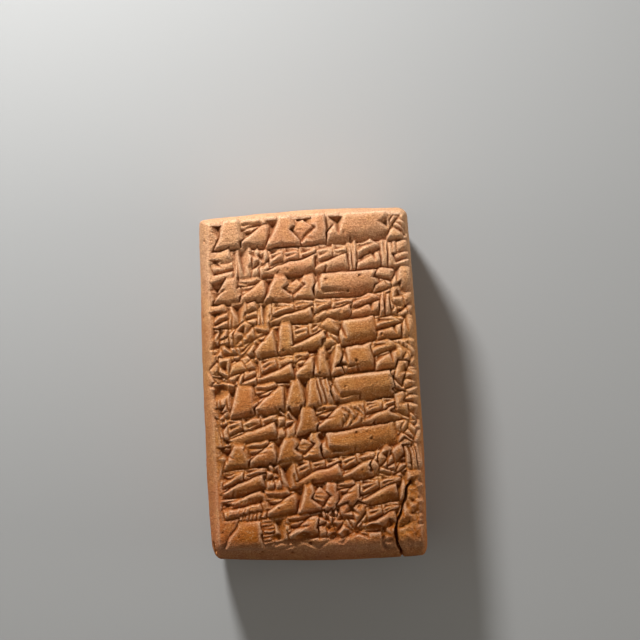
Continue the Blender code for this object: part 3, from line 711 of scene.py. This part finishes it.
def slant(row, w, h):
    for _, left, wide in shares(w, max(2, round(w / 1.25))):
        row.pad([(left - 0.2, h * 0.32), (left + wide * 0.6, h * 0.34), (left + wide * 1.2, h * 0.92),
                 (left + wide * 0.4, h)], -0.02, 0.5, 0.8)
        row.press(left + wide * 0.5, h * 0.98, -116, h * 0.5, 1.1, 0.75)
    row.pad([(0, h * -0.06), (w, 0), (w, h * 0.44), (0.1, h * 0.2)], 0.12, 0.8, 0.9, (1,), 0.05)
    row.press(0, h * 0.34, 2, w * 0.5, 1.2, 0.95, -0.2)


def arrow(row, w, h):
    row.pad([(0.2, h * 0.5), (w * 0.98, h * 0.7), (w * 0.6, h), (0.2, h * 0.82)], 0.0, 0.6, 0.8, tilt=0.04)
    row.pad([(-0.1, h * -0.04), (w, h * 0.04), (w, h * 0.62), (0.1, h * 0.3)], 0.12, 0.9, 0.95, tilt=0.05)
    row.press(0, h * 0.88, -2, w * 0.6, 1.4, 0.95, -0.2)
    row.press(0, h * 0.46, 8, w * 0.6, 1.2, 0.95, -0.3)
    row.press(w * 0.64, h * 0.7, -78, h * 0.42, 1.4, 0.95)


def fan(row, w, h):
    """A tent and three slats that meet at the left, under a broad notch."""
    row.pad([(0, -0.1), (w * 0.56, -0.1), (w * 0.44, h * 0.26), (w * 0.2, h * 0.44)],
            0.1, 0.6, 0.8, (1,))
    row.pad([(w * 0.6, -0.1), (w + 0.1, -0.1), (w + 0.1, h * 0.92), (w * 0.84, h * 0.84)],
            0.0, 0.6, 0.6, (0, 1, 2))
    for x, y, turn, long in ((0.46, 0.44, -40, 0.26), (0.6, 0.6, -42, 0.24), (0.32, 0.74, 48, 0.18)):
        slat(row, w * x, h * y, math.radians(turn), w * long, h * 0.065, 0.05)
    row.press(-0.1, h * 0.72, -62, h * 0.34, w * 0.26, 1.0, 0.1)
    row.press(w * 0.48, h * 1.02, -90, h * 0.2, w * 0.6, 0.8, 0.2)


def bar(row, w, h):
    row.pad([(0.2, h * -0.04), (w, 0), (w * 0.98, h * 0.95), (1.0, h * 0.92), (-0.1, h * 0.42)],
            0.28, 1.3, 1.1)
    row.press(0.1, h * 1.02, -74, h * 0.62, 1.5, 0.9, 0.2)
    row.press(w * 0.42, -0.2, 88, h * 0.26, 1.0, 0.6)
    row.press(w * 0.12, h * 0.2, 2, w * 0.24, 0.5, 0.25, -0.2)
    row.press(w * 0.6, h * 0.1, 4, w * 0.2, 0.5, 0.25, -0.2)


def blank(row, w, h):
    row.pad([(-0.1, h * -0.04), (w + 0.2, 0), (w, h * 0.97), (w * 0.3, h * 0.98), (0.1, h * 0.4)],
            0.2, 1.3, 0.9, (1, 2))
    row.press(w * 0.14, h * 1.04, -84, h * 0.62, min(3.0, w * 0.34), 1.2, 0.1)
    row.press(w * 0.4, -0.25, 92, h * 0.26, 1.3, 0.6)


def tangle(row, w, h):
    """Cushions and presses that lie across each other at all angles."""
    count = round(w * h / TANGLE_AREA)
    for k in range(count):
        x = w * ((k * 0.618 + 0.2) % 1.0)
        y = h * (0.12 + 0.78 * ((k + 0.5) / count))
        turn = math.radians(row.j(50) + 70 * (k % 2))
        slat(row, x, y, turn, 1.8 + row.j(0.4), 0.9 + row.j(0.2), row.j(0.12))
        if k % 2:
            row.press(x + row.j(0.6), y + 0.7, -45 + row.j(40), 2.2, 1.6, 0.9)


def lump(row, w, h):
    row.pad([(-0.2, 0.1), (w, -0.3), (w, h * 0.9), (w * 0.44, h * 1.02)], 0.15, 1.1, 0.6, (0, 1))


def ladder(row, w, h):
    """A column of short level ticks."""
    for k in range(round(h / TICK_PITCH)):
        up = 0.1 + k * TICK_PITCH
        row.pad([(0, up), (w, up), (w, up + 0.48), (0, up + 0.48)], -0.1, 0.3, 0.5)


def brush(row, w, h):
    """Two slabs that climb to the right, with short hatching under each."""
    row.pad([(0, h * 0.56), (w * 0.9, h * 0.66), (w * 0.9, h), (w * 0.5, h * 0.94), (0, h * 0.7)],
            0.1, 0.8, 0.8, (1,), 0.05)
    row.pad([(0, h * 0.28), (w * 0.86, h * 0.3), (w * 0.86, h * 0.52), (0, h * 0.48)],
            0.05, 0.5, 0.8)
    for k in range(round(w * 0.6 / TICK_PITCH)):
        left = w * 0.32 + k * TICK_PITCH
        row.pad([(left, h * 0.04), (left + 0.45, h * 0.04), (left + 0.8, h * 0.26),
                 (left + 0.35, h * 0.26)], -0.1, 0.3, 0.5)
        row.press(left + 0.7, h * 0.84, -112 + row.j(8), h * 0.3, 0.45, 0.3)


def scratch(row, w, h):
    """A patch scored with fine slanting strokes."""
    row.pad([(0, h * 0.04), (w, h * 0.04), (w, h * 0.92), (0, h * 0.9)],
            -0.05, 0.5, 0.7, (1, 2, 3))
    for k in range(round(w / SCRATCH_PITCH)):
        upper, lower = 0.2 + k * SCRATCH_PITCH, 0.3 + k * SCRATCH_PITCH
        row.press(upper, h * (0.88 - 0.1 * (k % 3)), -60 + row.j(12), h * 0.5, 0.6, 0.4)
        row.press(lower, h * (0.3 + 0.12 * (k % 3)), -118 + row.j(14), h * 0.32, 0.6, 0.4)


def strokes(row, w, h):
    """Wedges side by side, clear of each other."""
    for k in range(round(w / STROKE_PITCH)):
        top = h * (0.9 - 0.14 * (k % 2))
        row.press((k + 0.5) * STROKE_PITCH, top, -92 + row.j(9), h * 0.6, 1.4, 0.8, 0.1)


def bare(row, w, h):
    """Clay left unwritten."""


GROUPS = {group.__name__: group for group in (
    post, peak, rungs, vee, ramp, comb, box, hooks, slant, arrow, fan, bar, blank, scratch, lump,
    ladder, brush, tangle, strokes, bare,
)}


def parsed(rows):
    """Rows of text as lists of the names and widths of their groups."""
    return [[(name, float(width)) for name, width in map(str.split, row.split(", "))] for row in rows]


def notch(row):
    """Presses across the left end of a row, turned any way."""
    for _ in range(NOTCHES):
        up = row.tall(0) * row.draw.uniform(0.1, 0.9)
        row.press(-0.4 + row.j(0.4), up, row.j(40), 2.2, 1.8, 1.0, row.j(0.3))


def lay_groups(row, groups, stretch=1.0):
    """Groups of marks side by side from the left end of a row."""
    for name, width in groups:
        width *= stretch
        GROUPS[name](row, width, row.tall(row.start + width / 2))
        row.start += width
    row.start = 0.0


def edge_relief(seed):
    """The patch of the right edge with the ends of rows on it, pressed into plain clay."""
    relief, draw = Relief(*EDGE_PATCH, seed), random.Random(seed)
    for above, below, groups in zip(EDGE_LINES, EDGE_LINES[1:], parsed(EDGE_ROWS)):
        lay_groups(Row(relief, above, below, EDGE_LEFT, EDGE_RIGHT, draw), groups)
    return relief


def text_relief(lines, rows, left, right, seed, chips=(), crumbly=(), last=()):
    """A face's patch with a block of text on it: its sunk ground, marks, ruled lines and wear."""
    relief, draw = Relief(*FACE_PATCH, seed), random.Random(seed)
    span = right - left
    for above, below, groups in zip(lines, lines[1:], parsed(rows)):
        row = Row(relief, above, below, left, right, draw)
        rim = [(-0.2, 0.1), (span, 0.1), (span, row.tall(span)), (-0.2, row.tall(0))]
        relief.sink([row.place(*corner) for corner in rim])
        lay_groups(row, groups, span / sum(width for _, width in groups))
        if groups[0][0] != "lump":
            notch(row)
    for below in lines[1:-1]:
        relief.rule([(left, below[0]), (right, below[1])], *LINE)
    relief.rule(last or [(left, lines[-1][0]), (right, lines[-1][1])], *LAST_LINE)
    for patch in crumbly:
        relief.crumble(*patch)
    for chip in chips:
        relief.chip(*chip)
    relief.wear()
    return relief


def split_clay(clay, route, width, depth):
    """A ragged split along its places."""
    for start, end in zip(route, route[1:]):
        along = end - start
        span = np.linalg.norm(along)
        along = along / span
        chosen = clay.near((start + end) / 2, span / 2 + 1.5)
        rest = clay.rest[chosen]
        stray = np.stack([value_noise(rest, 0.9, seed) for seed in (61, 62, 63)], -1)
        away = rest + SPLIT_STRAY * stray - start
        t = np.clip(away @ along, 0, span)
        gap = np.linalg.norm(away - t[:, None] * along, axis=1)
        half = width / 2 * (1 + SPLIT_VARY * value_noise(rest, 2.5, 64))
        wall = -depth * unit(SPLIT_TO - gap / half)
        wall = np.where(gap < half * SPLIT_TO, wall, SPLIT_OVER)
        clay.push[chosen] = blend_min(clay.push[chosen], wall, 0.05)


def pit_surface(clay, draw):
    """Small pits all over, where grit and straw have fallen out."""
    for spot in draw.sample(range(len(clay.rest)), PIT_COUNT):
        size = PIT_SIZES[0] + PIT_SIZES[1] * draw.random() ** 3
        deep = size * draw.uniform(*PIT_DEPTHS)
        chosen = clay.near(clay.rest[spot], size * 1.2)
        gap = np.linalg.norm(clay.rest[chosen] - clay.rest[spot], axis=1) / size
        inside = gap < 1
        chosen, gap = chosen[inside], gap[inside]
        clay.push[chosen] -= deep * (1 - gap * gap)


def fade(lean, start, span):
    """The share of a patch's marks on skin that turns so far towards the patch."""
    return unit((lean - start) / span)


def shape_clay():
    """The whole tablet: hand-smoothed lump, text, damage and grain."""
    clay = Clay()
    points = clay.rest
    for size, height, seed in LUMPS:
        clay.push += height * value_noise(points, size, seed)
    x, y, z = points.T
    front = text_relief(FRONT_LINES, FRONT_ROWS, TEXT_LEFT, TEXT_RIGHT, SEED, CHIPS, CRUMBLY, CREST)
    back = text_relief(BACK_LINES, BACK_ROWS, BACK_LEFT, BACK_RIGHT, SEED + 1)
    clay.push += front.at(x, y) * fade(clay.out[:, 2], *FACE_FADE)
    clay.push += back.at(x, -y) * fade(-clay.out[:, 2], *FACE_FADE)
    side = edge_relief(SEED + 2).at(-z, y)
    clay.push += np.minimum(side, EDGE_PROUD * side) * fade(clay.out[:, 0], *EDGE_FADE)
    clay.whole = clay.push.copy()
    crack = [on_front(u, v) for u, v in CRACK] + [on_foot(u, v) for u, v in CRACK_FOOT]
    split_clay(clay, crack, CRACK_WIDTH, CRACK_DEPTH)
    split_clay(clay, [on_front(u, v) for u, v in NICK], NICK_WIDTH, NICK_DEPTH)
    pit_surface(clay, random.Random(SEED + 4))
    size, height, seed = GRAIN
    clay.push += height * rough_noise(points, size, seed, 4)
    return clay


# ---- the mesh and its clay

def tablet_mesh(clay):
    """A mesh of the pushed skin, thinned out, with the attributes that its material reads."""
    places = clay.rest + clay.out * clay.push[:, None]
    places[:, 2] = np.maximum(places[:, 2], -REST_DEPTH) + (LOW[2] + REST_DEPTH)
    # how far a place lies below the clay around it: where the hollows get painted shade with dirt
    hollow = unit((clay.blur(clay.push, HOLLOW_BLUR) - clay.push) / HOLLOW_FULL)
    # crests standing proud of the clay around them: paled as wear with painted highlight
    proud = unit((clay.whole - clay.blur(clay.whole, PROUD_BLUR)) / PROUD_FULL)
    sideways = np.hypot(clay.out[:, 0], clay.out[:, 1])
    # rims that lean sideways, most of all those facing the head where the key light stands: wear with
    # painted highlight
    rim_wear_and_highlight = unit(1 - np.abs(sideways - RIM_LEAN) / RIM_SPREAD)
    rim_wear_and_highlight *= RIM_LEAST + (1 - RIM_LEAST) * unit(RIM_STEEP * clay.out[:, 1])
    lost = unit((clay.whole - clay.push) / LOST_FULL)
    proud = np.maximum(PROUD_SHARE * proud, rim_wear_and_highlight) * (1 - lost)
    mesh = bpy.data.meshes.new("tablet_clay")
    mesh.vertices.add(len(places))
    mesh.vertices.foreach_set("co", (places * MM).astype(np.float32).ravel())
    mesh.loops.add(clay.quads.size)
    mesh.loops.foreach_set("vertex_index", clay.quads.astype(np.int32).ravel())
    mesh.polygons.add(len(clay.quads))
    mesh.polygons.foreach_set("loop_start", np.arange(0, clay.quads.size, 4, dtype=np.int32))
    for name, values in (("hollow", hollow), ("proud", proud)):
        mesh.attributes.new(name, "FLOAT", "POINT").data.foreach_set("value", values.astype(np.float32))
    mesh.update(calc_edges=True)
    mesh.validate()
    dense = add_object("tablet_dense", mesh)
    thin = dense.modifiers.new("thin", "DECIMATE")
    thin.ratio = TRIANGLES / (2 * len(clay.quads))
    thin.use_collapse_triangulate = True
    made = bpy.data.meshes.new_from_object(dense.evaluated_get(bpy.context.evaluated_depsgraph_get()))
    bpy.data.objects.remove(dense, do_unlink=True)
    bpy.data.meshes.remove(mesh)
    made.name = "tablet_skin"
    made.shade_smooth()
    return made


class Nodes:
    """Short ways to add and join nodes."""

    def __init__(self, name):
        self.material = bpy.data.materials.new(name)
        self.material.use_nodes = True
        self.tree = self.material.node_tree
        self.shader = self.tree.nodes["Principled BSDF"]

    def add(self, kind, links=(), **settings):
        node = self.tree.nodes.new(kind)
        for name, value in settings.items():
            setattr(node, name, value)
        for socket, value in dict(links).items():
            self.join(value, node.inputs[socket])
        return node

    def join(self, value, socket):
        if isinstance(value, bpy.types.NodeSocket):
            self.tree.links.new(value, socket)
        else:
            socket.default_value = value

    def attribute(self, name):
        return self.add("ShaderNodeAttribute", attribute_name=name).outputs["Fac"]

    def noise(self, scale, detail=3.0, rough=0.5):
        where = self.add("ShaderNodeTexCoord").outputs["Object"]
        return self.add("ShaderNodeTexNoise", {
            "Vector": where, "Scale": scale, "Detail": detail, "Roughness": rough}).outputs["Fac"]

    def ramp(self, value, low, high, to_low=0.0, to_high=1.0):
        return self.add("ShaderNodeMapRange", {
            "Value": value, "From Min": low, "From Max": high, "To Min": to_low, "To Max": to_high,
        }).outputs["Result"]

    def math(self, operation, a, b=0.0):
        return self.add("ShaderNodeMath", {0: a, 1: b}, operation=operation).outputs[0]

    def mix(self, amount, *tints):
        """Two colours, or what makes them, mixed."""
        node = self.add("ShaderNodeMix", data_type="RGBA")
        self.join(amount, node.inputs["Factor"])
        for name, tint in zip("AB", tints):
            self.join(colour(tint) if isinstance(tint, tuple) else tint, node.inputs[name])
        return node.outputs["Result"]


def colour(screen):
    """A shader colour from 0 to 255 values on a screen."""
    linear = [((c / 255 + 0.055) / 1.055) ** 2.4 if c > 10 else c / 255 / 12.92 for c in screen]
    return (*linear, 1.0)


def clay_material():
    """Dry baked clay: mottled, paler at the head with painted light there, browner at the foot, with
    painted shade at the foot's end, painted shade with dirt in the hollows, and wear with painted highlight
    on rims and crests.
    """
    n = Nodes("baked_clay")
    hollow, proud = n.attribute("hollow"), n.attribute("proud")
    mottle = n.ramp(n.noise(210.0, 4.0, 0.6), 0.35, 0.65)
    tint = n.mix(mottle, DUN, PALE_DUN)
    along = n.add("ShaderNodeSeparateXYZ", {"Vector": n.add("ShaderNodeTexCoord").outputs["Object"]})
    drift = n.math("ADD", along.outputs["Y"], n.math("MULTIPLY", n.noise(60.0, 2.0), 0.02))
    foot = n.ramp(drift, 0.034, -0.016)
    tint = n.mix(foot, tint, n.mix(mottle, BROWN, PALE_BROWN))
    grime_and_shade = n.mix(n.ramp(n.noise(150.0, 2.0), 0.5, 0.6), RED_GRIME_AND_SHADE, BROWN_GRIME_AND_SHADE)
    for share, over in (
        # painted shade over the foot's end, which turns away from the light
        (n.ramp(drift, -0.0245, -0.0295, 0.0, 0.7), FOOT_SHADE),
        # paler towards the head: a paler tone with painted light
        (n.ramp(drift, 0.018, 0.032, 0.0, 0.5), HEAD_PALE_AND_LIGHT),
        (n.math("MULTIPLY", n.ramp(n.noise(80.0, 2.0), 0.46, 0.68), 0.45), BLUSH),
        (n.math("MULTIPLY", n.ramp(n.noise(420.0, 3.0), 0.52, 0.74), 0.35), DUST),
        # painted shade with dirt, darkening the hollows
        (n.math("MULTIPLY", hollow, n.ramp(n.noise(600.0, 2.0), 0.3, 0.7, 0.55, 0.95)), grime_and_shade),
        # wear with painted highlight on rims and crests
        (n.math("MULTIPLY", proud, 0.8), WORN_AND_HIGHLIGHT),
        (n.ramp(n.noise(3400.0, 2.0, 0.7), 0.40, 0.62, 0.0, 0.48), SPECK),
        (n.math("MULTIPLY", n.ramp(n.noise(2200.0, 2.0), 0.62, 0.70), 0.4), GRIT),
    ):
        tint = n.mix(share, tint, over)
    n.join(tint, n.shader.inputs["Base Color"])
    rough = n.ramp(n.noise(900.0, 2.0), 0.3, 0.7, 0.70, 0.90)
    n.join(rough, n.shader.inputs["Roughness"])
    n.shader.inputs["Specular IOR Level"].default_value = 0.12
    fine = n.math("ADD", n.noise(1500.0, 4.0, 0.6), n.math("MULTIPLY", n.noise(4200.0, 2.0), 0.9))
    rugged = n.ramp(along.outputs["Z"], 0.012, 0.017, 0.45, 0.8)
    bump = n.add("ShaderNodeBump", {"Height": fine, "Strength": rugged, "Distance": 0.0003})
    n.join(bump.outputs["Normal"], n.shader.inputs["Normal"])
    return n.material


def floor_material():
    n = Nodes("floor_paper")
    n.shader.inputs["Base Color"].default_value = colour(FLOOR_GREY)
    n.shader.inputs["Roughness"].default_value = 0.9
    return n.material


def add_object(name, data):
    made = bpy.data.objects.new(name, data)
    bpy.context.scene.collection.objects.link(made)
    return made


def make_tablet():
    skin = tablet_mesh(shape_clay())
    skin.materials.append(clay_material())
    tablet = add_object("tablet_clay", skin)
    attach(tablet, "root")
    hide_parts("tablet")


def make_floor():
    mesh = bpy.data.meshes.new("floor")
    corners = [(x * FLOOR_HALF, y * FLOOR_HALF, 0) for x, y in ((-1, -1), (1, -1), (1, 1), (-1, 1))]
    mesh.from_pydata(corners, [], [(0, 1, 2, 3)])
    mesh.materials.append(floor_material())
    add_object("floor", mesh)


def make_camera():
    """Over the tablet, a little to its left and turned as the photograph is."""
    data = bpy.data.cameras.new("camera")
    data.lens = CAMERA_LENS
    data.clip_start = 0.01
    camera = add_object("camera", data)
    aim = Vector((CAMERA_AIM[0], CAMERA_AIM[1], (LOW[2] + HIGH[2]) / 2 + CAMERA_AIM[2])) * MM
    yaw, roll = math.radians(CAMERA_YAW), math.radians(CAMERA_ROLL)
    back = Vector((-math.sin(yaw), 0, math.cos(yaw)))
    head = Vector((math.sin(roll), math.cos(roll), 0))
    right = head.cross(back).normalized()
    up = back.cross(right)
    turn = Matrix((right, up, back)).transposed().to_4x4()
    camera.matrix_world = Matrix.Translation(aim + back * CAMERA_DISTANCE * MM) @ turn
    bpy.context.scene.camera = camera


def make_lights():
    for name, (place, size, power, tint) in LIGHTS.items():
        data = bpy.data.lights.new(name, "AREA")
        data.shape = "DISK"
        data.size = size
        data.energy = power
        data.color = tint
        light = add_object(name, data)
        light.location = place
        light.rotation_euler = (-Vector(place)).to_track_quat("-Z", "Y").to_euler()
    world = bpy.data.worlds.new("studio")
    world.use_nodes = True
    background = world.node_tree.nodes["Background"]
    background.inputs["Color"].default_value = WORLD_TINT
    background.inputs["Strength"].default_value = WORLD_STRENGTH
    bpy.context.scene.world = world
    bpy.context.scene.view_settings.view_transform = "Standard"


make_tablet()
make_floor()
make_camera()
make_lights()
